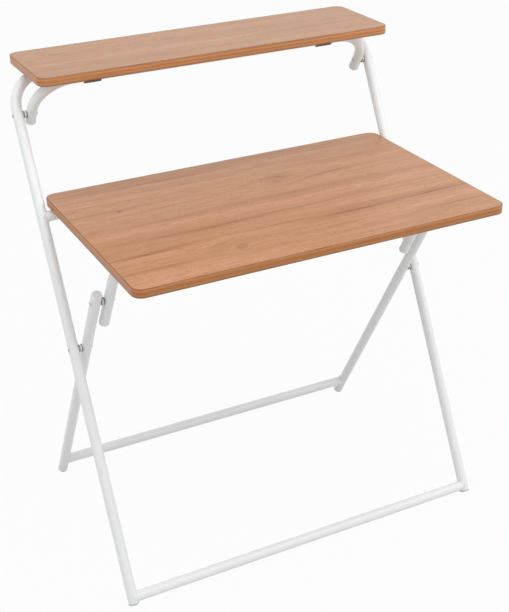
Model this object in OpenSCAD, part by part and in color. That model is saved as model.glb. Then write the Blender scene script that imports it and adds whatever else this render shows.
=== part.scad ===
// Folding desk with a raised rear shelf, on a crossed frame of bent round tube.
// Millimetres. +X runs to the user's right, +Y to the rear, +Z up; the floor is z = 0.

/* [Boards] */
// Width of the desktop and of the shelf
desk_w = 800; // [780:1:860]
// Depth of the desktop
desk_d = 505; // [470:1:520]
// Height of the desktop's upper face
desk_h = 768; // [750:1:790]
// Depth of the shelf
shelf_d = 215; // [190:1:220]
// Height of the shelf's upper face
shelf_h = 1028; // [1020:1:1060]
// Thickness of both boards
board_t = 18; // [16:0.5:20]
// Thickness of the plastic edge band glued round each board
band_t = 2; // [1.5:0.1:3]
// Radius of the boards' corners, seen from above
corner_r = 22; // [12:1:40]
// Radius of the edge band's two arrises
arris_r = 1.5; // [0.5:0.1:1.5]

/* [Stance] */
// Depth over everything, from the desktop's front edge to the shelf's rear edge
overall_d = 666; // [650:1:690]
// Distance from the desktop's front edge back to where the posts' axes meet the floor
foot_back = 84; // [75:1:95]
// Distance between the front and rear feet, measured where the tubes' axes meet the floor
foot_spread = 543; // [520:1:560]
// Lean of the posts from the vertical, to the rear
post_lean = 27.6; // [26:0.1:29]
// Lean of the inner legs from the vertical, to the front
leg_lean = 30.5; // [29:0.1:32]
// Height of the front floor bar's axis
front_bar_h = 18; // [16:0.5:24]
// Height of the rear floor bar's axis
rear_bar_h = 46; // [42:0.5:52]

/* [Tube] */
// Outer diameter of every frame tube
tube_d = 22; // [20:0.5:25]
// Wall thickness of every frame tube
tube_wall = 1.2; // [1:0.1:2]
// Radius of the posts' and the desk brace's bends, to the tube's axis
bend_r = 70; // [50:1:77]
// Radius of the shelf brace's bends, to the tube's axis
shelf_bend_r = 80; // [75:1:84]
// Free width on each side of the desktop, between its edge and a post
side_gap = 6.5; // [5:0.5:10]
// Gap between two tubes that are riveted side by side
tube_gap = 6.5; // [5:0.5:8]

/* [Pivots] */
// Straight length of the desk brace's arms above their pivot, up to the bend
desk_brace_arm = 59.5; // [50:0.5:75]
// Length of the desk brace's arms below their pivot
desk_brace_tail = 84; // [60:1:95]
// Straight length of the shelf brace's arms above their pivot, up to the bend
shelf_brace_arm = 8.5; // [6:0.5:15]
// Length of the shelf brace's arms below their pivot
shelf_brace_tail = 26; // [22:1:40]
// Lean of the shelf brace's arms from the vertical, to the front
shelf_brace_lean = 32.7; // [30:0.1:35]
// Length of the inner legs beyond the desktop's pivot
leg_over = 27; // [24:1:36]
// Diameter of the rivets
rivet_d = 6; // [5:0.5:8]
// Diameter of the rivets' heads
rivet_head_d = 9; // [8.5:0.5:12]
// Height of the rivets' heads
rivet_head_h = 1.6; // [1.2:0.1:3]
// Diameter of the spacers between riveted tubes
spacer_d = 13; // [11:0.5:18]

/* [Caps] */
// Diameter of the end caps' visible heads
cap_d = 22.4; // [22:0.1:23]
// Height of the end caps' heads
cap_h = 5; // [4:0.5:8]
// Rounding of the end caps' rims
cap_round = 3; // [1:0.5:3.5]
// Length of the plug inside the tube
plug_len = 14; // [8:1:20]

/* [Fasteners] */
// Width of the saddles and clips, along the tube
strap_w = 16; // [14:1:20]
// Thickness of the saddles
strap_t = 3; // [2:0.5:4]
// Thickness of the clips' base, between board and tube
clip_base = 3; // [2:0.5:4]
// Thickness of the clips' arms
clip_arm = 3; // [2:0.5:4]
// Distance of the screws from the tube's axis
screw_off = 20; // [18:0.5:24]
// Diameter of the screws' shanks
screw_d = 3.5; // [3:0.5:4]
// Length of the screws' shanks
screw_len = 14; // [12:1:16]
// Distance of the desk brace's saddles from the middle
desk_saddle_x = 240; // [150:5:260]
// Distance of the shelf brace's pairs of saddles from the middle
shelf_saddle_x = 270; // [200:1:272]
// Gap between the two saddles of a pair
saddle_gap = 2; // [1:0.5:3]
// Distance of the clips from the middle, under both boards
clip_x = 300; // [200:5:320]

/* [Hidden] */
$fn = 64;
// radial clearance of a rivet in its holes, and of a plug in its tube
run_fit = 0.05;
// clearance of a saddle or clip round its tube
grip_fit = 0.3;
tube_r = tube_d / 2;
bore_r = tube_r - tube_wall;
cap_r = cap_d / 2;
rivet_r = rivet_d / 2;
tube_pitch = tube_d + tube_gap;

// the tubes' planes, as distances from the middle
post_x = desk_w / 2 + side_gap + tube_r;
leg_x = post_x - tube_pitch;
desk_brace_x = leg_x - tube_pitch;
shelf_brace_x = post_x - tube_pitch;

// distance along a leaning tube for a rise h, to the hundredth of a millimetre
function along(h, lean) = round(100 * h / cos(lean)) / 100;

// length of the braces' arms, from the pivot to the cross bar's axis
desk_brace_len = desk_brace_arm + bend_r;
shelf_brace_len = shelf_brace_arm + shelf_bend_r;

// heights
desk_under = desk_h - board_t;
shelf_under = shelf_h - board_t;
rail_h = desk_under - clip_base - grip_fit - tube_r;
top_bar_h = shelf_under - clip_base - grip_fit - tube_r;
desk_brace_h = desk_under - tube_r;
shelf_brace_h = shelf_under - tube_r;
desk_pivot_h = desk_brace_h - desk_brace_len * cos(leg_lean);
shelf_pivot_h = shelf_brace_h - shelf_brace_len * cos(shelf_brace_lean);

// height of a leaning foot's axis end, when its rounded cap stands on the floor
function end_h(lean) = (cap_r - cap_round) * sin(lean) + cap_round * (1 - cos(lean));
post_end_h = end_h(post_lean);
leg_end_h = end_h(leg_lean);

// where the posts' and inner legs' axes meet the floor
post_y0 = foot_back - overall_d / 2;
leg_y0 = post_y0 + foot_spread;
function post_y(h) = post_y0 + h * tan(post_lean);
function leg_y(h) = leg_y0 - h * tan(leg_lean);

// the three pivots, seen from the side
cross_h = foot_spread / (tan(post_lean) + tan(leg_lean));
cross_y = post_y(cross_h);
desk_pivot_y = leg_y(desk_pivot_h);
shelf_pivot_y = post_y(shelf_pivot_h);

// the fittings' places along x
desk_saddles = [-desk_saddle_x, desk_saddle_x];
shelf_saddles = [for (x = [-shelf_saddle_x, shelf_saddle_x]) for (s = [-1, 1])
    x + s * (strap_w + saddle_gap) / 2];
clips = [-clip_x, clip_x];

// the boards and their brace tubes
desk_mid_y = (desk_d - overall_d) / 2;
shelf_mid_y = (overall_d - shelf_d) / 2;
desk_brace_y = leg_y(desk_brace_h);
shelf_brace_y = shelf_pivot_y - (shelf_brace_h - shelf_pivot_h) * tan(shelf_brace_lean);

WHITE = [0.93, 0.93, 0.92];
WOOD = [0.79, 0.61, 0.47];
BAND = [0.69, 0.45, 0.30];
CAP = [0.80, 0.80, 0.79];
FOOT = [0.50, 0.50, 0.50];
STEEL = [0.62, 0.62, 0.63];
DARK = [0.28, 0.27, 0.26];

// Places

// origin on the axis end of the posts' feet, local z up along the posts
module on_posts() {
    translate([0, post_y(post_end_h), post_end_h]) rotate([-post_lean, 0, 0]) children();
}

// origin on the axis end of the inner legs' feet, local z up along the legs
module on_legs() {
    translate([0, leg_y(leg_end_h), leg_end_h]) rotate([leg_lean, 0, 0]) children();
}

// origin on the desktop's pivot line, local z up along the desk brace's arms
module on_desk_brace() {
    translate([0, desk_pivot_y, desk_pivot_h]) rotate([leg_lean, 0, 0]) children();
}

// origin on the shelf's pivot line, local z up along the shelf brace's arms
module on_shelf_brace() {
    translate([0, shelf_pivot_y, shelf_pivot_h]) rotate([shelf_brace_lean, 0, 0]) children();
}

module both_sides() {
    children();
    mirror([1, 0, 0]) children();
}

// Tube work

// straight tube from z = 0 up
module pipe(h) {
    difference() {
        cylinder(h = h, r = tube_r);
        translate([0, 0, -1]) cylinder(h = h + 2, r = bore_r);
    }
}

// quarter bend from a tube that points up to one that points to -x, its centre at the origin
module quarter_bend(bend) {
    rotate([90, 0, 0]) rotate_extrude(angle = 90) translate([bend, 0]) difference() {
        circle(r = tube_r);
        circle(r = bore_r);
    }
}

// two upright arms joined over the top by bends and a cross bar, with their lower ends
// at z = low; the arms are drilled at the heights given, below the bends
module u_tube(half_w, low, top, bend, holes) {
    both_sides() {
        difference() {
            translate([half_w, 0, low]) pipe(top - bend - low);
            for (h = holes) rivet_hole(half_w, h);
        }
        translate([half_w - bend, 0, top - bend]) quarter_bend(bend);
    }
    translate([bend - half_w, 0, top]) rotate([0, 90, 0]) pipe(2 * (half_w - bend));
}

// rivet hole along x through the tube at x = at
module rivet_hole(at, h) {
    translate([at - tube_d, 0, h]) rotate([0, 90, 0])
        cylinder(h = 2 * tube_d, r = rivet_r + run_fit);
}

// a straight tube along x between two tubes, its ends cut to sit round them
module cross_tube(half_w) {
    difference() {
        translate([-half_w, 0, 0]) rotate([0, 90, 0]) cylinder(h = 2 * half_w, r = tube_r);
        translate([-half_w - 1, 0, 0]) rotate([0, 90, 0])
            cylinder(h = 2 * half_w + 2, r = bore_r);
        both_sides() translate([half_w, 0, -tube_d]) cylinder(h = 2 * tube_d, r = tube_r);
    }
}

// plastic end cap: rounded head below z = cap_h, plug inside the tube above it
module end_cap() {
    rotate_extrude() {
        square([cap_r - cap_round, cap_h]);
        translate([0, cap_round]) square([cap_r, cap_h - cap_round]);
        translate([cap_r - cap_round, cap_round]) intersection() {
            circle(r = cap_round);
            translate([0, -cap_round]) square(cap_round);
        }
        translate([0, cap_h]) square([bore_r - run_fit, plug_len]);
    }
}

// Pivots

// solid rivet along x through the tube at x = out and the next tube inwards
module rivet(out) {
    reach = out + tube_r;
    depth = tube_d + tube_pitch + 2 * run_fit;
    translate([reach - depth, 0, 0]) rotate([0, 90, 0]) cylinder(h = depth, r = rivet_r);
    translate([reach, 0, 0]) rotate([0, 90, 0]) rivet_head();
    translate([reach - depth, 0, 0]) rotate([0, -90, 0]) rivet_head();
}

// flat cap of a sphere
module rivet_head() {
    ball = (pow(rivet_head_d / 2, 2) + pow(rivet_head_h, 2)) / (2 * rivet_head_h);
    intersection() {
        translate([0, 0, rivet_head_h - ball]) sphere(r = ball);
        cylinder(h = rivet_head_h, r = rivet_head_d / 2);
    }
}

// ring between the tube at x = out and the next tube inwards
module spacer(out) {
    difference() {
        translate([out - tube_r - tube_gap + run_fit, 0, 0]) rotate([0, 90, 0])
            cylinder(h = tube_gap - 2 * run_fit, r = spacer_d / 2);
        translate([out - tube_pitch, 0, 0]) rotate([0, 90, 0])
            cylinder(h = tube_pitch, r = rivet_r + run_fit);
    }
}

// Board fittings

// stands a flat (y, z) drawing up and gives it the strap's width along x
module strap_extrude() {
    rotate([90, 0, 90]) linear_extrude(height = strap_w, center = true) children();
}

// the strap's outline from above: a bar with half-round ends
module strap_plan() {
    square([strap_w, 2 * screw_off], center = true);
    for (s = [-1, 1]) translate([0, s * screw_off]) circle(d = strap_w);
}

// holes for the two screws of a strap, from the tube's axis up
module strap_holes() {
    for (s = [-1, 1]) translate([0, s * screw_off, 0])
        cylinder(h = 2 * tube_r, r = screw_d / 2 + run_fit);
}

// saddle: passes under the tube, with a foot screwed to the board on each side
module saddle() {
    out_r = tube_r + grip_fit + strap_t;
    reach = screw_off + strap_w / 2;
    intersection() {
        difference() {
            strap_extrude() difference() {
                union() {
                    circle(r = out_r);
                    translate([-out_r, 0]) square([2 * out_r, tube_r]);
                    translate([-reach, tube_r - strap_t]) square([2 * reach, strap_t]);
                }
                circle(r = tube_r + grip_fit);
                translate([-tube_r - grip_fit, 0]) square([tube_d + 2 * grip_fit, tube_d]);
                translate([-reach, tube_r]) square([2 * reach, tube_d]);
            }
            strap_holes();
        }
        translate([0, 0, -tube_d]) linear_extrude(height = 2 * tube_d) strap_plan();
    }
}

// clip: a base on top of the tube and a half ring round it; turn points the mouth
module clip(turn) {
    in_r = tube_r + grip_fit;
    reach = screw_off + strap_w / 2;
    intersection() {
        difference() {
            strap_extrude() difference() {
                union() {
                    translate([-reach, in_r]) square([2 * reach, clip_base]);
                    rotate(turn) difference() {
                        circle(r = in_r + clip_arm);
                        translate([-tube_d, -2 * tube_d]) square([2 * tube_d, 2 * tube_d]);
                    }
                }
                rotate(turn) {
                    circle(r = in_r);
                    translate([-in_r, -tube_d]) square([2 * in_r, tube_d]);
                }
                translate([-reach, in_r + clip_base]) square([2 * reach, tube_d]);
            }
            strap_holes();
        }
        translate([0, 0, -tube_d]) linear_extrude(height = 2 * tube_d) strap_plan();
    }
}

// pan head screw with a cross recess, shank up, head under z = 0
module screw() {
    head_r = screw_d * 1.05;
    head_h = screw_d * 0.6;
    difference() {
        union() {
            cylinder(h = screw_len, r = screw_d / 2);
            translate([0, 0, -head_h / 2]) cylinder(h = head_h / 2, r = head_r);
            translate([0, 0, -head_h]) cylinder(h = head_h / 2, r1 = head_r * 0.7, r2 = head_r);
        }
        for (a = [0, 90]) rotate(a) translate([-head_r / 2, -0.35, -head_h - 1])
            cube([head_r, 0.7, 1 + head_h * 0.6]);
    }
}

// places something at both screws of every fitting at the places xs, round y = mid
module at_screws(xs, mid) {
    for (x = xs) for (s = [-1, 1]) translate([x, mid + s * screw_off, 0]) children();
}

// Boards

module rounded_plan(w, d, r) {
    square([w - 2 * r, d], center = true);
    square([w, d - 2 * r], center = true);
    for (x = [-1, 1]) for (y = [-1, 1])
        translate([x * (w / 2 - r), y * (d / 2 - r)]) circle(r = r);
}

// board core inside its edge band, standing on z = 0
module board_core(d) {
    linear_extrude(height = board_t)
        rounded_plan(desk_w - 2 * band_t, d - 2 * band_t, corner_r - band_t);
}

// section of the edge band: inner face on x = 0, outer arrises rounded
module band_section() {
    difference() {
        square([band_t, board_t]);
        for (z = [0, 1]) translate([band_t, z * board_t]) mirror([0, z]) difference() {
            translate([-arris_r, -1]) square([arris_r + 1, arris_r + 1]);
            translate([-arris_r, arris_r]) circle(r = arris_r);
        }
    }
}

// four straight stretches and four corners of edge band
module edge_band(d) {
    in_w = desk_w / 2 - band_t;
    in_d = d / 2 - band_t;
    for (a = [0, 180]) rotate(a) {
        translate([in_w, d / 2 - corner_r, 0]) rotate([90, 0, 0])
            linear_extrude(height = d - 2 * corner_r) band_section();
        translate([corner_r - desk_w / 2, in_d, 0]) rotate([90, 0, 90])
            linear_extrude(height = desk_w - 2 * corner_r) band_section();
    }
    for (x = [0, 1]) mirror([x, 0, 0]) for (y = [0, 1]) mirror([0, y, 0])
        translate([desk_w / 2 - corner_r, d / 2 - corner_r, 0])
            rotate_extrude(angle = 90) translate([corner_r - band_t, 0]) band_section();
}

// Post frame

module post_frame_tube() {
    color(WHITE) on_posts() u_tube(post_x, cap_h, along(top_bar_h - post_end_h, post_lean), bend_r, [
        along(cross_h - post_end_h, post_lean),
        along(shelf_pivot_h - post_end_h, post_lean)
    ]);
}

module front_floor_bar() {
    color(WHITE) on_posts() translate([0, 0, along(front_bar_h - post_end_h, post_lean)])
        cross_tube(post_x);
}

module rest_rail() {
    color(WHITE) on_posts() translate([0, 0, along(rail_h - post_end_h, post_lean)])
        cross_tube(post_x);
}

module front_foot_caps() {
    color(FOOT) on_posts() both_sides() translate([post_x, 0, 0]) end_cap();
}

// Inner legs

leg_len = along(desk_pivot_h - leg_end_h, leg_lean) + leg_over;

module inner_leg(side) {
    color(WHITE) on_legs() difference() {
        translate([side * leg_x, 0, cap_h]) pipe(leg_len - 2 * cap_h);
        rivet_hole(side * leg_x, along(cross_h - leg_end_h, leg_lean));
        rivet_hole(side * leg_x, leg_len - leg_over);
    }
}

module rear_floor_bar() {
    color(WHITE) on_legs() translate([0, 0, along(rear_bar_h - leg_end_h, leg_lean)])
        cross_tube(leg_x);
}

module rear_foot_caps() {
    color(FOOT) on_legs() both_sides() translate([leg_x, 0, 0]) end_cap();
}

module leg_top_caps() {
    color(CAP) on_legs() both_sides() translate([leg_x, 0, leg_len]) mirror([0, 0, 1]) end_cap();
}

// Rivets and spacers

module cross_rivet(side) {
    color(STEEL) translate([0, cross_y, cross_h]) mirror([side, 0, 0]) rivet(post_x);
}

module cross_spacers() {
    color(CAP) translate([0, cross_y, cross_h]) both_sides() spacer(post_x);
}

module desk_rivet(side) {
    color(STEEL) translate([0, desk_pivot_y, desk_pivot_h]) mirror([side, 0, 0]) rivet(leg_x);
}

module desk_spacers() {
    color(CAP) translate([0, desk_pivot_y, desk_pivot_h]) both_sides() spacer(leg_x);
}

module shelf_rivet(side) {
    color(STEEL) translate([0, shelf_pivot_y, shelf_pivot_h]) mirror([side, 0, 0])
        rivet(post_x);
}

module shelf_spacers() {
    color(CAP) translate([0, shelf_pivot_y, shelf_pivot_h]) both_sides() spacer(post_x);
}

// Desktop

module desktop_board() {
    color(WOOD) difference() {
        translate([0, desk_mid_y, desk_under]) board_core(desk_d);
        translate([0, 0, desk_under - 1]) {
            at_screws(desk_saddles, desk_brace_y) pilot(screw_len - strap_t);
            at_screws(clips, post_y(rail_h)) pilot(screw_len - clip_base);
        }
    }
}

// blind hole for a screw, 1 mm of it below the board's face
module pilot(depth) {
    cylinder(h = depth + 1 + grip_fit, r = screw_d / 2 + run_fit);
}

module desktop_edge_band() {
    color(BAND) translate([0, desk_mid_y, desk_under]) edge_band(desk_d);
}

module desk_brace_tube() {
    color(WHITE) on_desk_brace()
        u_tube(desk_brace_x, cap_h - desk_brace_tail, desk_brace_len, bend_r, [0]);
}

module desk_brace_caps() {
    color(CAP) on_desk_brace() both_sides() translate([desk_brace_x, 0, -desk_brace_tail])
        end_cap();
}

module desk_brace_saddles() {
    color(DARK) for (x = desk_saddles)
        translate([x, desk_brace_y, desk_brace_h]) saddle();
}

module desk_saddle_screws() {
    color(STEEL) translate([0, 0, desk_under - strap_t])
        at_screws(desk_saddles, desk_brace_y) screw();
}

module rail_clips() {
    color(DARK) for (x = clips) translate([x, post_y(rail_h), rail_h]) clip(0);
}

module rail_clip_screws() {
    color(STEEL) translate([0, 0, desk_under - clip_base])
        at_screws(clips, post_y(rail_h)) screw();
}

// Shelf

module shelf_board() {
    color(WOOD) difference() {
        translate([0, shelf_mid_y, shelf_under]) board_core(shelf_d);
        translate([0, 0, shelf_under - 1]) {
            at_screws(shelf_saddles, shelf_brace_y) pilot(screw_len - strap_t);
            at_screws(clips, post_y(top_bar_h)) pilot(screw_len - clip_base);
        }
    }
}

module shelf_edge_band() {
    color(BAND) translate([0, shelf_mid_y, shelf_under]) edge_band(shelf_d);
}

module shelf_brace_tube() {
    color(WHITE) on_shelf_brace()
        u_tube(shelf_brace_x, cap_h - shelf_brace_tail, shelf_brace_len, shelf_bend_r, [0]);
}

module shelf_brace_caps() {
    color(CAP) on_shelf_brace() both_sides() translate([shelf_brace_x, 0, -shelf_brace_tail])
        end_cap();
}

module shelf_brace_saddles() {
    color(DARK) for (x = shelf_saddles) translate([x, shelf_brace_y, shelf_brace_h]) saddle();
}

module shelf_saddle_screws() {
    color(STEEL) translate([0, 0, shelf_under - strap_t])
        at_screws(shelf_saddles, shelf_brace_y) screw();
}

module shelf_clips() {
    color(DARK) for (x = clips)
        translate([x, post_y(top_bar_h), top_bar_h]) clip(90 - post_lean);
}

module shelf_clip_screws() {
    color(STEEL) translate([0, 0, shelf_under - clip_base])
        at_screws(clips, post_y(top_bar_h)) screw();
}

post_frame_tube();
front_floor_bar();
rest_rail();
front_foot_caps();
inner_leg(-1);  // left_inner_leg
inner_leg(1);  // right_inner_leg
rear_floor_bar();
rear_foot_caps();
leg_top_caps();
cross_rivet(1);  // left_cross_rivet
cross_rivet(0);  // right_cross_rivet
cross_spacers();
desk_rivet(1);  // left_desk_rivet
desk_rivet(0);  // right_desk_rivet
desk_spacers();
shelf_rivet(1);  // left_shelf_rivet
shelf_rivet(0);  // right_shelf_rivet
shelf_spacers();
desktop_board();
desktop_edge_band();
desk_brace_tube();
desk_brace_caps();
desk_brace_saddles();
desk_saddle_screws();
rail_clips();
rail_clip_screws();
shelf_board();
shelf_edge_band();
shelf_brace_tube();
shelf_brace_caps();
shelf_brace_saddles();
shelf_saddle_screws();
shelf_clips();
shelf_clip_screws();
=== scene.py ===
# Folding desk with a raised rear shelf, on a crossed frame of white steel tube.
# The imported frame gives every solid in metres. This script gives them their finish, adds the weld
# beads and dark grey washers that are painted shade in the spacers' gaps, and sets up the camera
# and the light.
import math

import bpy
from mathutils import Matrix, Vector, noise


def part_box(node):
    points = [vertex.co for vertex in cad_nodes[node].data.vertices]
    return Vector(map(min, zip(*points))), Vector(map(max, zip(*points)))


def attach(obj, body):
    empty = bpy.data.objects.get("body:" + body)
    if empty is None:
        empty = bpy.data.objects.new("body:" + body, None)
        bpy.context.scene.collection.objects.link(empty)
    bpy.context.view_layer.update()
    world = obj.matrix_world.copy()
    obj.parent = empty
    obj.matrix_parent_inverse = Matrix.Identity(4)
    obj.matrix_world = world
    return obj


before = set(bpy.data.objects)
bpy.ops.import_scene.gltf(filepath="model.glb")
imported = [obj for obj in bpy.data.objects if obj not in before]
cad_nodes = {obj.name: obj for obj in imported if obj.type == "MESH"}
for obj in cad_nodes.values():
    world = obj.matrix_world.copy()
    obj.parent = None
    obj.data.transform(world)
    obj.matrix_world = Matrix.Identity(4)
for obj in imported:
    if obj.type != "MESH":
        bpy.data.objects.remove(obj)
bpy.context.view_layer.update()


# Camera
# A short telephoto view from the front left and above, as a catalogue photographer stands. The
# middle of the picture is on the lens axis, so there is no shift.
camera_place = (-1.0434, -2.0917, 1.7072)
# how it is turned, in degrees
turned_right = 26.456
looking_down = 27.553
tipped_right = 1.061
camera_data = bpy.data.cameras.new("catalogue_camera")
camera_data.sensor_width = 36.0
camera_data.lens = 70.66
camera_data.clip_start = 0.05
camera_data.clip_end = 60.0
camera = bpy.data.objects.new("catalogue_camera", camera_data)
bpy.context.scene.collection.objects.link(camera)
camera.matrix_world = (
    Matrix.Translation(camera_place)
    @ Matrix.Rotation(math.radians(-turned_right), 4, "Z")
    @ Matrix.Rotation(math.radians(90.0 - looking_down), 4, "X")
    @ Matrix.Rotation(math.radians(-tipped_right), 4, "Z")
)
bpy.context.scene.camera = camera
bpy.context.scene.view_settings.view_transform = "Standard"


# White tubes
# Posts, inner legs, floor bars, rest rail and both braces are 22 mm welded steel tube, powder
# coated and baked: smooth gloss white with a faint orange peel, a little duller where hands and
# dust reach.
def from_hex(code):
    """An sRGB hex colour as the linear RGBA that shaders use."""
    parts = [int(code[i : i + 2], 16) / 255 for i in (1, 3, 5)]
    return tuple(
        c / 12.92 if c <= 0.04045 else ((c + 0.055) / 1.055) ** 2.4 for c in parts
    ) + (1.0,)


def put(tree, kind, inputs=None, **settings):
    """Adds one shader node with its own settings. An input that is given a socket is linked to it,
    and any other input is set to its value."""
    added = tree.nodes.new(kind)
    for name, value in settings.items():
        setattr(added, name, value)
    for name, value in (inputs or {}).items():
        if isinstance(value, bpy.types.NodeSocket):
            tree.links.new(value, added.inputs[name])
        else:
            added.inputs[name].default_value = value
    return added


def new_finish(name):
    """An empty material: its node tree, the piece's own coordinates, and the surface to link to."""
    material = bpy.data.materials.new(name)
    material.use_nodes = True
    tree = material.node_tree
    tree.nodes.clear()
    place = put(tree, "ShaderNodeTexCoord").outputs["Object"]
    surface = put(tree, "ShaderNodeOutputMaterial").inputs["Surface"]
    return material, tree, place, surface


def dress(material, *names):
    """Gives CAD nodes their finish."""
    for name in names:
        cad_nodes[name].data.materials.clear()
        cad_nodes[name].data.materials.append(material)


powder_coat, tree, place, surface = new_finish("gloss_white_powder_coat")
# orange peel: cells of about 2.5 mm, a hundredth of a millimetre deep
peel = put(tree, "ShaderNodeTexNoise", {"Vector": place, "Scale": 400.0, "Detail": 1.0})
# handling and dust: the gloss changes over some 60 mm
wear = put(tree, "ShaderNodeTexNoise", {"Vector": place, "Scale": 16.0, "Detail": 3.0})
tone = put(tree, "ShaderNodeMix", {
    0: wear.outputs["Fac"], 6: from_hex("#EBEDEE"), 7: from_hex("#EFF1F2"),
}, data_type="RGBA")
gloss = put(tree, "ShaderNodeMapRange", {
    "Value": wear.outputs["Fac"], "To Min": 0.22, "To Max": 0.29,
})
relief = put(tree, "ShaderNodeBump", {
    "Height": peel.outputs["Fac"], "Distance": 0.00001, "Strength": 0.2,
})
coat = put(tree, "ShaderNodeBsdfPrincipled", {
    "Base Color": tone.outputs[2],
    "Roughness": gloss.outputs["Result"],
    "IOR": 1.5,
    "Normal": relief.outputs["Normal"],
})
tree.links.new(coat.outputs["BSDF"], surface)
dress(
    powder_coat,
    "post_frame_tube", "front_floor_bar", "rest_rail",
    "left_inner_leg", "right_inner_leg", "rear_floor_bar",
    "desk_brace_tube", "shelf_brace_tube",
)


# Weld beads
# Each bar's ends are cut to fit round the posts or legs and welded with one wire-fed bead along the
# seam, about 3.5 mm wide, its ripples some 2 mm apart. The powder coat runs over it.
def join_pieces(name, pieces, finish):
    """Joins pieces into one object of this name and finish, which stays selected."""
    bpy.ops.object.select_all(action="DESELECT")
    for piece in pieces:
        piece.select_set(True)
    bpy.context.view_layer.objects.active = pieces[0]
    bpy.ops.object.join()
    joined = bpy.context.object
    joined.name = name
    joined.data.materials.clear()
    joined.data.materials.append(finish)
    return joined


def weld_beads(name, bar, upright, lean, body, under):
    """Beads round both ends of a cross bar between two uprights, whose axes stand at this distance
    from the middle and have this lean. The beads reach as far as under below the bar's middle."""
    tube_radius = 0.011
    bead_radius = 0.0017
    # points lie 0.6 mm apart round the tube, and every fourth one starts a ripple
    round_points = 120
    ripple_points = 4
    low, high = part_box(bar)
    middle = [(low[i] + high[i]) / 2 for i in range(3)]
    beads = []
    for side in (-1, 1):
        bpy.ops.object.select_all(action="DESELECT")
        bpy.ops.mesh.primitive_circle_add(
            vertices=round_points, radius=tube_radius, rotation=(0, math.pi / 2, 0),
        )
        bpy.ops.object.transform_apply(rotation=True)
        # tubes of one size meet along a seam at 45 degrees to both
        seam = bpy.context.object.data
        for corner in seam.vertices:
            corner.co.x = side * (upright - abs(corner.co.z))
        bpy.ops.object.mode_set(mode="EDIT")
        bpy.ops.mesh.select_mode(type="VERT")
        bpy.ops.mesh.select_all(action="DESELECT")
        bpy.ops.object.mode_set(mode="OBJECT")
        for corner in seam.vertices:
            corner.select = corner.co.z < -under
        bpy.ops.object.mode_set(mode="EDIT")
        bpy.ops.mesh.delete(type="VERT")
        bpy.ops.object.mode_set(mode="OBJECT")
        bpy.ops.object.convert(target="CURVE")
        bead = bpy.context.object
        bead.data.bevel_depth = bead_radius
        bead.data.bevel_resolution = 3
        bead.data.use_fill_caps = True
        # thin where the torch starts and stops, rippled by 13%, and uneven by up to 16%
        points = bead.data.splines[0].points
        for i, point in enumerate(points):
            from_end = min(i, len(points) - 1 - i)
            taper = min(1.0, 0.45 + 0.18 * from_end)
            ripple = 1.0 + 0.13 * math.sin(i * 2 * math.pi / ripple_points)
            uneven = 1 + 0.16 * noise.noise(Vector((i * 0.21, side, 7)))
            point.radius = taper * ripple * uneven
        bpy.ops.object.convert(target="MESH")
        bead = bpy.context.object
        bead.data.transform(
            Matrix.Translation((0, middle[1], middle[2])) @ Matrix.Rotation(lean, 4, "X")
        )
        beads.append(bead)
    joined = join_pieces(name, beads, powder_coat)
    bpy.ops.object.shade_smooth()
    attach(joined, body)


# the uprights' axes: their distance from the middle and their lean
post_axis = 0.4175
leg_axis = 0.389
post_lean = math.radians(-27.6)
leg_lean = math.radians(30.5)
# the front bar's beads stop above the foot caps, and the others go all the way round
weld_beads("front_bar_weld_beads", "front_floor_bar", post_axis, post_lean, "post_frame", 0.006)
weld_beads("rest_rail_weld_beads", "rest_rail", post_axis, post_lean, "post_frame", 0.012)
weld_beads("rear_bar_weld_beads", "rear_floor_bar", leg_axis, leg_lean, "inner_legs", 0.012)


# End caps
# Push-in caps moulded in polypropylene: a rounded head on a plug. The ones on the legs' and braces'
# free ends are white like the tube, and the four on the floor are scuffed and greyer.
def moulded_cap(name, clean, scuffed, share):
    """Satin plastic with the spark-eroded grain of its mould, drawn 0.6 mm wide so that it shows,
    and scuffs some 4 mm long."""
    material, tree, place, surface = new_finish(name)
    grain = put(tree, "ShaderNodeTexNoise", {"Vector": place, "Scale": 1800.0, "Detail": 1.0})
    scuff = put(tree, "ShaderNodeTexNoise", {"Vector": place, "Scale": 260.0, "Detail": 4.0})
    much = put(tree, "ShaderNodeMapRange", {
        "Value": scuff.outputs["Fac"], "From Min": 0.42, "From Max": 0.66, "To Max": share,
    })
    colour = put(tree, "ShaderNodeMix", {
        0: much.outputs["Result"], 6: from_hex(clean), 7: from_hex(scuffed),
    }, data_type="RGBA")
    relief = put(tree, "ShaderNodeBump", {
        "Height": grain.outputs["Fac"], "Distance": 0.00004, "Strength": 0.6,
    })
    plastic = put(tree, "ShaderNodeBsdfPrincipled", {
        "Base Color": colour.outputs[2],
        "Roughness": 0.42,
        "IOR": 1.49,
        "Normal": relief.outputs["Normal"],
    })
    tree.links.new(plastic.outputs["BSDF"], surface)
    return material


dress(
    moulded_cap("white_moulded_polypropylene", "#ECEEEF", "#DADCDD", 0.4),
    "leg_top_caps", "desk_brace_caps", "shelf_brace_caps",
)
dress(
    moulded_cap("scuffed_grey_polypropylene", "#DADAD9", "#A9A9A7", 0.6),
    "front_foot_caps", "rear_foot_caps",
)


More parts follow.
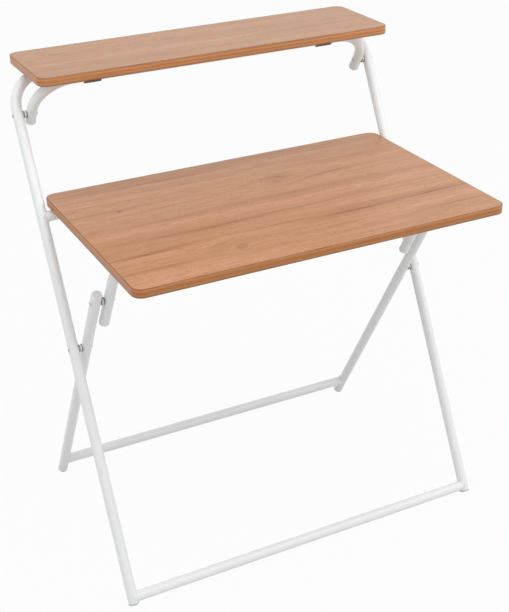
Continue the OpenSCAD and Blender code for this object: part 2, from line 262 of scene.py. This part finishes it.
# Rivets and screws
# Solid steel rivets, headed cold on an orbital press, hold the three pairs of pivots, and wood
# screws hold the saddles and clips. Both are zinc plated: dull blue grey with specks of 1 to 2 mm.
plated_steel, tree, place, surface = new_finish("zinc_plated_rivet_steel")
spangle = put(tree, "ShaderNodeTexNoise", {"Vector": place, "Scale": 700.0, "Detail": 3.0})
shade = put(tree, "ShaderNodeMix", {
    0: spangle.outputs["Fac"], 6: from_hex("#A3A5A7"), 7: from_hex("#D2D4D5"),
}, data_type="RGBA")
dull = put(tree, "ShaderNodeMapRange", {
    "Value": spangle.outputs["Fac"], "To Min": 0.45, "To Max": 0.25,
})
zinc = put(tree, "ShaderNodeBsdfPrincipled", {
    "Base Color": shade.outputs[2], "Metallic": 1.0, "Roughness": dull.outputs["Result"],
})
tree.links.new(zinc.outputs["BSDF"], surface)
dress(
    plated_steel,
    "left_cross_rivet", "right_cross_rivet", "left_desk_rivet", "right_desk_rivet",
    "left_shelf_rivet", "right_shelf_rivet",
    "desk_saddle_screws", "rail_clip_screws", "shelf_saddle_screws", "shelf_clip_screws",
)


# Spacers and washers
# Turned nylon rings hold the riveted tubes apart, left natural white. The lathe's faint rings are
# drawn 1.2 mm apart, so that they show. A dark grey washer over each end is painted shade: it
# stands in for the shade in the narrow gaps between spacer and tubes.
nylon, tree, place, surface = new_finish("turned_natural_nylon")
rings = put(tree, "ShaderNodeTexWave", {
    "Vector": place, "Scale": 260.0, "Distortion": 0.6,
}, bands_direction="X")
milky = put(tree, "ShaderNodeMix", {
    0: rings.outputs["Fac"], 6: from_hex("#E9E8E5"), 7: from_hex("#F2F2F0"),
}, data_type="RGBA")
relief = put(tree, "ShaderNodeBump", {
    "Height": rings.outputs["Fac"], "Distance": 0.00005, "Strength": 0.5,
})
ring = put(tree, "ShaderNodeBsdfPrincipled", {
    "Base Color": milky.outputs[2],
    "Roughness": 0.38,
    "IOR": 1.53,
    "Normal": relief.outputs["Normal"],
})
tree.links.new(ring.outputs["BSDF"], surface)
dress(nylon, "cross_spacers", "desk_spacers", "shelf_spacers")

# the washers' matt dark grey is painted shade for the gaps, mottled in patches of about 1 mm
gap_shade_finish, tree, place, surface = new_finish("dark_grey_gap_shade")
bloom = put(tree, "ShaderNodeTexNoise", {"Vector": place, "Scale": 900.0, "Detail": 3.0})
grey = put(tree, "ShaderNodeMix", {
    0: bloom.outputs["Fac"], 6: from_hex("#454544"), 7: from_hex("#5E5E5C"),
}, data_type="RGBA")
relief = put(tree, "ShaderNodeBump", {
    "Height": bloom.outputs["Fac"], "Distance": 0.00005, "Strength": 0.5,
})
gap_shade_bsdf = put(tree, "ShaderNodeBsdfPrincipled", {
    "Base Color": grey.outputs[2],
    "Roughness": 0.6,
    "IOR": 1.52,
    "Normal": relief.outputs["Normal"],
})
tree.links.new(gap_shade_bsdf.outputs["BSDF"], surface)

# one washer, 16 mm across, is modelled round the x axis and copied to its places
washer_bore = 0.00655
washer_rim = 0.0080
washer_thick = 0.0008
bpy.ops.object.select_all(action="DESELECT")
bpy.ops.mesh.primitive_cylinder_add(
    vertices=48, radius=washer_rim, depth=washer_thick, rotation=(0, math.pi / 2, 0),
)
washer = bpy.context.object
bpy.ops.object.transform_apply(rotation=True)
bpy.ops.object.mode_set(mode="EDIT")
bpy.ops.mesh.select_mode(type="FACE")
bpy.ops.mesh.select_all(action="DESELECT")
bpy.ops.object.mode_set(mode="OBJECT")
for face in washer.data.polygons:
    face.select = len(face.vertices) > 4
bpy.ops.object.mode_set(mode="EDIT")
bpy.ops.mesh.inset(thickness=washer_rim - washer_bore, use_individual=True)
bpy.ops.mesh.bridge_edge_loops()
bpy.ops.mesh.select_all(action="SELECT")
bpy.ops.mesh.normals_make_consistent(inside=False)
bpy.ops.object.mode_set(mode="OBJECT")
bevel = washer.modifiers.new("moulded_edges", "BEVEL")
bevel.width = 0.0002
bevel.segments = 2
bpy.ops.object.modifier_apply(modifier=bevel.name)


def gap_shade_washers(name, body, inner_face, y, z):
    """A dark washer, painted shade for the gap, near each end of both sides' spacers, which start
    at inner_face.
    """
    spacer_length = 0.0065
    from_end = 0.0006
    fitted = []
    for side in (-1, 1):
        for along in (from_end, spacer_length - from_end):
            copied = washer.copy()
            copied.data = washer.data.copy()
            copied.data.transform(Matrix.Translation((side * (inner_face + along), y, z)))
            bpy.context.scene.collection.objects.link(copied)
            fitted.append(copied)
    joined = join_pieces(name, fitted, gap_shade_finish)
    bpy.ops.object.shade_smooth_by_angle(angle=math.radians(35))
    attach(joined, body)


# painted shade: dark washers at each pivot darken the gaps between spacer and tubes
gap_shade_washers("cross_gap_shade_washers", "post_frame", inner_face=0.4, y=0.00632, z=0.488383)
gap_shade_washers("desk_gap_shade_washers", "inner_legs", inner_face=0.3715, y=-0.075578, z=0.627419)
gap_shade_washers("shelf_gap_shade_washers", "post_frame", inner_face=0.4, y=0.234331, z=0.924526)
bpy.data.objects.remove(washer)


# Boards
# Desktop and shelf are 18 mm particle board faced on both sides with melamine foil, printed in a
# light pear or cherry grain that runs along the desk. The print is soft, with slow bands some
# 40 mm wide, growth lines about 10 mm apart, a few streaks and knots, and fine pressed-in pores.
def printed_laminate(name, middle, ground_inks, streaks, knots):
    """Satin wood-print foil for a board whose middle is at y = middle. Each streak and knot is
    (x, y, half length, half width, slope, strength) from the board's middle, in millimetres."""
    material, tree, place, surface = new_finish(name)
    own = put(tree, "ShaderNodeMapping", {"Vector": place, "Location": (0, -middle, 0)})
    parts = put(tree, "ShaderNodeSeparateXYZ", {"Vector": own.outputs["Vector"]})
    # the whole grain drifts to and fro by up to 17.5 mm over 400 mm of length
    sideways = 0.0175
    slow = put(tree, "ShaderNodeMapping", {
        "Vector": own.outputs["Vector"], "Scale": (2.4, 9.0, 0),
    })
    drift = put(tree, "ShaderNodeTexNoise", {
        "Vector": slow.outputs["Vector"], "Scale": 1.0, "Detail": 1.0,
    })
    wander = put(tree, "ShaderNodeMapRange", {
        "Value": drift.outputs["Fac"], "To Min": -sideways, "To Max": sideways,
    })
    across = put(tree, "ShaderNodeMath", {
        0: wander.outputs["Result"], 1: parts.outputs["Y"],
    }, operation="ADD").outputs["Value"]

    def patch(vector, x, y, length, width, slope):
        """Soft oval, 1 in its middle and 0 at its rim, the same at every height."""
        turned = put(tree, "ShaderNodeMapping", {
            "Vector": vector,
            "Location": (x / 1000, y / 1000, 0),
            "Rotation": (0, 0, slope),
            "Scale": (length / 1000, width / 1000, 1000.0),
        }, vector_type="TEXTURE")
        return put(tree, "ShaderNodeTexGradient", {
            "Vector": turned.outputs["Vector"],
        }, gradient_type="SPHERICAL").outputs["Fac"]

    # the growth lines part and flow round each knot, out to three times its size
    reach_along = 3.2
    reach_across = 3.4
    parting = 0.75
    for x, y, length, width, slope, _strength in knots:
        near = patch(
            own.outputs["Vector"], x, y, reach_along * length, reach_across * width, slope
        )
        pull = put(tree, "ShaderNodeMath", {
            0: parts.outputs["Y"], 1: y / 1000,
        }, operation="SUBTRACT")
        share = put(tree, "ShaderNodeMath", {
            0: pull.outputs["Value"], 1: near,
        }, operation="MULTIPLY")
        across = put(tree, "ShaderNodeMath", {
            0: share.outputs["Value"], 1: -parting, 2: across,
        }, operation="MULTIPLY_ADD").outputs["Value"]
    flow = put(tree, "ShaderNodeCombineXYZ", {
        "X": parts.outputs["X"], "Y": across,
    }).outputs["Vector"]

    # the layers of the print, each with its marks per metre along and across the grain: bands of
    # 42 mm, growth lines of 10 mm, lines of 4 mm and fibres of 3 mm, and pores 9 mm long and
    # 1 mm wide, drawn coarser than real so that they show
    layers = []
    for along, width, detail in (
        (0.9, 24.0, 2.0), (2.6, 95.0, 3.0), (3.5, 260.0, 2.0), (22.0, 330.0, 2.0),
        (110.0, 900.0, 1.0),
    ):
        laid = put(tree, "ShaderNodeMapping", {"Vector": flow, "Scale": (along, width, 0)})
        layers.append(put(tree, "ShaderNodeTexNoise", {
            "Vector": laid.outputs["Vector"], "Scale": 1.0, "Detail": detail, "Roughness": 0.55,
        }).outputs["Fac"])
    bands, growth, lines, fibre, pores = layers

    # the bands mix the two ground inks, and three darker inks go over them, up to a most each
    ground = put(tree, "ShaderNodeMapRange", {"Value": bands, "From Min": 0.32, "From Max": 0.68})
    colour = put(tree, "ShaderNodeMix", {
        0: ground.outputs["Result"], 6: from_hex(ground_inks[0]), 7: from_hex(ground_inks[1]),
    }, data_type="RGBA").outputs[2]
    for ink, low, high, most, tint in (
        (growth, 0.48, 0.70, 0.55, "#A0621F"),
        (fibre, 0.46, 0.70, 0.46, "#9C5C1E"),
        (pores, 0.54, 0.70, 0.50, "#884A10"),
    ):
        dose = put(tree, "ShaderNodeMapRange", {
            "Value": ink, "From Min": low, "From Max": high, "To Max": most,
        })
        colour = put(tree, "ShaderNodeMix", {
            0: dose.outputs["Result"], 6: colour, 7: from_hex(tint),
        }, data_type="RGBA").outputs[2]
    # streaks follow the growth lines, and like the knots they break up into lines 4 mm apart
    total = 0.0
    for kind, vector in ((streaks, flow), (knots, own.outputs["Vector"])):
        for x, y, length, width, slope, strength in kind:
            total = put(tree, "ShaderNodeMath", {
                0: patch(vector, x, y, length, width, slope), 1: strength, 2: total,
            }, operation="MULTIPLY_ADD").outputs["Value"]
    broken = put(tree, "ShaderNodeMapRange", {
        "Value": lines, "From Min": 0.33, "From Max": 0.67, "To Min": 0.25, "To Max": 1.45,
    })
    dose = put(tree, "ShaderNodeMath", {
        0: total, 1: broken.outputs["Result"],
    }, operation="MULTIPLY", use_clamp=True)
    colour = put(tree, "ShaderNodeMix", {
        0: dose.outputs["Value"], 6: colour, 7: from_hex("#86460A"),
    }, data_type="RGBA").outputs[2]

    # the fibres are a little duller, and the pores are pressed in by less than 0.1 mm
    satin = put(tree, "ShaderNodeMapRange", {"Value": fibre, "To Min": 0.31, "To Max": 0.41})
    relief = put(tree, "ShaderNodeBump", {
        "Height": pores, "Distance": 0.00008, "Strength": 0.5,
    }, invert=True)
    foil = put(tree, "ShaderNodeBsdfPrincipled", {
        "Base Color": colour,
        "Roughness": satin.outputs["Result"],
        "IOR": 1.62,
        "Normal": relief.outputs["Normal"],
    })
    tree.links.new(foil.outputs["BSDF"], surface)
    return material


dress(printed_laminate(
    "pear_print_melamine_desktop",
    -0.0805,
    ("#B17F53", "#C78D68"),
    streaks=(
        (-190, 207, 240, 8, 0.02, 0.62),
        (-330, 214, 110, 13, 0.0, 0.35),
        (-350, 155, 70, 5, 0.0, 0.35),
        (-290, 104, 190, 6, 0.0, 0.55),
        (-294, 96, 9, 6, 0.0, 1.6),
        (-84, 76, 16, 6, -0.3, 0.6),
        (185, 80, 95, 10, 0.0, 0.52),
        (290, 136, 160, 16, -0.02, 0.30),
        (-230, 11, 150, 7, -0.03, 0.50),
        (-360, 20, 70, 9, 0.0, 0.35),
        (90, 12, 420, 17, 0.0, 0.38),
        (-100, -57, 260, 8, 0.03, 0.55),
        (-170, -64, 160, 10, 0.0, 0.35),
        (170, -48, 260, 6, 0.01, 0.45),
        (-325, -120, 115, 9, 0.06, 0.85),
        (-240, -113, 90, 4, 0.02, 0.60),
        (-50, -119, 100, 5, 0.05, 0.60),
        (140, -126, 120, 8, -0.01, 0.60),
        (310, -120, 150, 8, 0.02, 0.55),
        (230, -118, 260, 24, 0.0, 0.42),
        (60, -134, 120, 16, 0.03, 0.45),
        (-310, -190, 140, 11, 0.0, 0.42),
        (60, -176, 140, 6, 0.01, 0.40),
        (320, -194, 150, 6, 0.0, 0.55),
        (-80, -203, 80, 6, 0.0, 0.35),
        (340, -176, 90, 9, 0.0, 0.28),
    ),
    knots=(
        (70, 106, 42, 24, 0.25, 0.80),
        (52, 84, 26, 14, -0.35, 0.60),
        (-148, -166, 26, 15, 0.3, 0.50),
        (-158, -180, 14, 10, 0.0, 0.50),
        (-186, -148, 24, 9, 0.3, 0.50),
    ),
), "desktop_board")
dress(printed_laminate(
    "pear_print_melamine_shelf_painted_shade",
    0.2255,
    # painted shade: the shelf's ground inks are darker than the desktop's, though both boards carry
    # the same print
    ("#A87954", "#BA8C67"),
    streaks=(
        (240, -21, 250, 15, 0.02, 0.55),
        (-330, -12, 90, 9, -0.05, 0.50),
        (-250, -12, 30, 11, 0.0, 0.30),
        (-55, 35, 90, 11, -0.1, 0.38),
        (150, 30, 190, 15, 0.0, 0.25),
        (-110, -75, 75, 20, 0.0, 0.30),
        (60, -62, 210, 8, 0.0, 0.18),
    ),
    knots=((-325, 48, 28, 12, -0.3, 0.35),),
), "shelf_board")


# Edge bands
# A 2 mm ABS band is glued round each board, printed to look like plywood: light and dark stripes
# that wander by half a millimetre. A light stripe just under the upper arris is a painted
# highlight, and from there up over its top the band is dark.
def plywood_band_and_highlight(name, top, stripes):
    """Striped ABS edging, with a painted highlight under the upper arris, for a board whose upper
    face is at this height. The stripes are given from the lower arris, 0, to the upper one, 1."""
    board_thick = 0.018
    waver_span = 0.004
    waver_mean = waver_span / 2
    material, tree, place, surface = new_finish(name)
    parts = put(tree, "ShaderNodeSeparateXYZ", {"Vector": place})
    # the stripes waver over lengths of some 110 mm
    long_grain = put(tree, "ShaderNodeMapping", {"Vector": place, "Scale": (9.0, 9.0, 60.0)})
    waver = put(tree, "ShaderNodeTexNoise", {
        "Vector": long_grain.outputs["Vector"], "Scale": 1.0, "Detail": 2.0,
    })
    height = put(tree, "ShaderNodeMath", {
        0: waver.outputs["Fac"], 1: waver_span, 2: parts.outputs["Z"],
    }, operation="MULTIPLY_ADD")
    share = put(tree, "ShaderNodeMapRange", {
        "Value": height.outputs["Value"],
        "From Min": top - board_thick + waver_mean,
        "From Max": top + waver_mean,
    })
    print_and_arris_highlight = put(tree, "ShaderNodeValToRGB", {"Fac": share.outputs["Result"]})
    ramp = print_and_arris_highlight.color_ramp.elements
    while len(ramp) < len(stripes):
        ramp.new(0.5)
    for element, (at, code) in zip(ramp, stripes):
        element.position = at
        element.color = from_hex(code)
    # printed fibres 50 mm long and 1 mm high
    fine = put(tree, "ShaderNodeMapping", {"Vector": place, "Scale": (20.0, 20.0, 900.0)})
    fibre = put(tree, "ShaderNodeTexNoise", {
        "Vector": fine.outputs["Vector"], "Scale": 1.0, "Detail": 3.0,
    })
    dose = put(tree, "ShaderNodeMapRange", {
        "Value": fibre.outputs["Fac"], "From Min": 0.45, "From Max": 0.75, "To Max": 0.45,
    })
    colour = put(tree, "ShaderNodeMix", {
        0: dose.outputs["Result"], 6: print_and_arris_highlight.outputs["Color"], 7: from_hex("#8A5226"),
    }, data_type="RGBA")
    relief = put(tree, "ShaderNodeBump", {
        "Height": fibre.outputs["Fac"], "Distance": 0.00006, "Strength": 0.5,
    })
    band = put(tree, "ShaderNodeBsdfPrincipled", {
        "Base Color": colour.outputs[2],
        "Roughness": 0.38,
        "IOR": 1.52,
        "Normal": relief.outputs["Normal"],
    })
    tree.links.new(band.outputs["BSDF"], surface)
    return material


# the stop at 0.92, lighter than those round it, is a painted highlight along the upper arris
dress(plywood_band_and_highlight("plywood_print_band_and_highlight_desktop", 0.768, (
    (0.00, "#85582E"), (0.10, "#96683E"), (0.22, "#A8703F"), (0.34, "#B87646"),
    (0.42, "#A66B33"), (0.53, "#AD6B31"), (0.62, "#A9662B"), (0.70, "#B97339"), (0.80, "#BE7B45"),
    (0.87, "#B87844"), (0.92, "#C88B5C"), (0.96, "#8A5022"),
)), "desktop_edge_band")
# the stop at 0.92, lighter than those round it, is a painted highlight along the upper arris
dress(plywood_band_and_highlight("plywood_print_band_and_highlight_shelf", 1.028, (
    (0.00, "#845830"), (0.10, "#A27043"), (0.20, "#B37D4F"), (0.36, "#C18453"),
    (0.47, "#AF7039"), (0.56, "#B77841"), (0.66, "#C2824B"), (0.74, "#D29460"), (0.82, "#B37645"),
    (0.87, "#AC7345"), (0.92, "#B67E55"), (0.96, "#93592A"),
)), "shelf_edge_band")


# Saddles and clips
# Injection moulded in wood-brown nylon and screwed up into the boards: saddles hold the braces, and
# open clips sit over the rest rail and the posts' top bar. The skin is matt, its grain drawn 0.7 mm
# wide so that it shows, and its brown is uneven over some 11 mm.
fitting_nylon, tree, place, surface = new_finish("wood_brown_moulded_nylon")
grain = put(tree, "ShaderNodeTexNoise", {"Vector": place, "Scale": 1400.0, "Detail": 2.0})
patchy = put(tree, "ShaderNodeTexNoise", {"Vector": place, "Scale": 90.0, "Detail": 2.0})
colour = put(tree, "ShaderNodeMix", {
    0: patchy.outputs["Fac"], 6: from_hex("#74492C"), 7: from_hex("#865A3A"),
}, data_type="RGBA")
relief = put(tree, "ShaderNodeBump", {
    "Height": grain.outputs["Fac"], "Distance": 0.00008, "Strength": 0.6,
})
skin = put(tree, "ShaderNodeBsdfPrincipled", {
    "Base Color": colour.outputs[2],
    "Roughness": 0.5,
    "IOR": 1.53,
    "Normal": relief.outputs["Normal"],
})
tree.links.new(skin.outputs["BSDF"], surface)
dress(fitting_nylon, "desk_brace_saddles", "rail_clips", "shelf_brace_saddles", "shelf_clips")


# Studio
# A pale paper floor, a pale world, and soft boxes above and on both sides. The camera and
# reflections look through 97% of the floor to the white backdrop, and the rest keeps the desk's
# soft shadow.
def looked_at(tree):
    """1 for rays from the camera and for reflected and transmitted ones, 0 for diffuse light."""
    path = put(tree, "ShaderNodeLightPath")
    direct = put(tree, "ShaderNodeMath", {
        0: path.outputs["Is Camera Ray"], 1: path.outputs["Is Glossy Ray"],
    }, operation="MAXIMUM")
    return put(tree, "ShaderNodeMath", {
        0: direct.outputs["Value"], 1: path.outputs["Is Transmission Ray"],
    }, operation="MAXIMUM").outputs["Value"]


# the paper lies 0.2 mm under the feet, and its tooth is some 3 mm wide
bpy.ops.object.select_all(action="DESELECT")
bpy.ops.mesh.primitive_plane_add(size=16.0, location=(0, 0, -0.0002))
floor = bpy.context.object
floor.name = "studio_floor"
sweep, tree, place, surface = new_finish("white_paper_sweep")
cleared = put(tree, "ShaderNodeMath", {0: looked_at(tree), 1: 0.97}, operation="MULTIPLY")
tooth = put(tree, "ShaderNodeTexNoise", {"Vector": place, "Scale": 300.0, "Detail": 2.0})
paper = put(tree, "ShaderNodeMix", {
    0: tooth.outputs["Fac"], 6: from_hex("#D2D2D1"), 7: from_hex("#D8D8D7"),
}, data_type="RGBA")
matt = put(tree, "ShaderNodeBsdfDiffuse", {"Color": paper.outputs[2]})
see_through = put(tree, "ShaderNodeBsdfTransparent", {"Color": (1.0, 1.0, 1.0, 1.0)})
both = put(tree, "ShaderNodeMixShader", {
    0: cleared.outputs["Value"], 1: matt.outputs["BSDF"], 2: see_through.outputs["BSDF"],
})
tree.links.new(both.outputs["Shader"], surface)
floor.data.materials.append(sweep)

world = bpy.data.worlds.new("studio_air")
bpy.context.scene.world = world
world.use_nodes = True
tree = world.node_tree
tree.nodes.clear()
air = put(tree, "ShaderNodeBackground", {"Color": from_hex("#FAFAFA"), "Strength": 0.67})
backdrop = put(tree, "ShaderNodeBackground", {"Color": from_hex("#FEFEFE"), "Strength": 1.0})
view = put(tree, "ShaderNodeMixShader", {
    0: looked_at(tree), 1: air.outputs["Background"], 2: backdrop.outputs["Background"],
})
put(tree, "ShaderNodeOutputWorld", {"Surface": view.outputs["Shader"]})

desk_middle = Vector((0, 0, 0.8))
for name, spot, width, depth, watts in (
    ("overhead_soft_box", (-0.1, -0.8, 2.7), 3.0, 3.0, 29.5),
    ("right_soft_box", (2.0, -1.4, 1.9), 2.4, 2.2, 19.0),
    ("left_soft_box", (-1.7, -0.4, 2.0), 1.8, 1.8, 6.5),
):
    box_light = bpy.data.lights.new(name, "AREA")
    box_light.shape = "RECTANGLE"
    box_light.size = width
    box_light.size_y = depth
    box_light.energy = watts
    lamp = bpy.data.objects.new(name, box_light)
    bpy.context.scene.collection.objects.link(lamp)
    lamp.location = spot
    lamp.rotation_mode = "QUATERNION"
    lamp.rotation_quaternion = (desk_middle - Vector(spot)).to_track_quat("-Z", "Y")
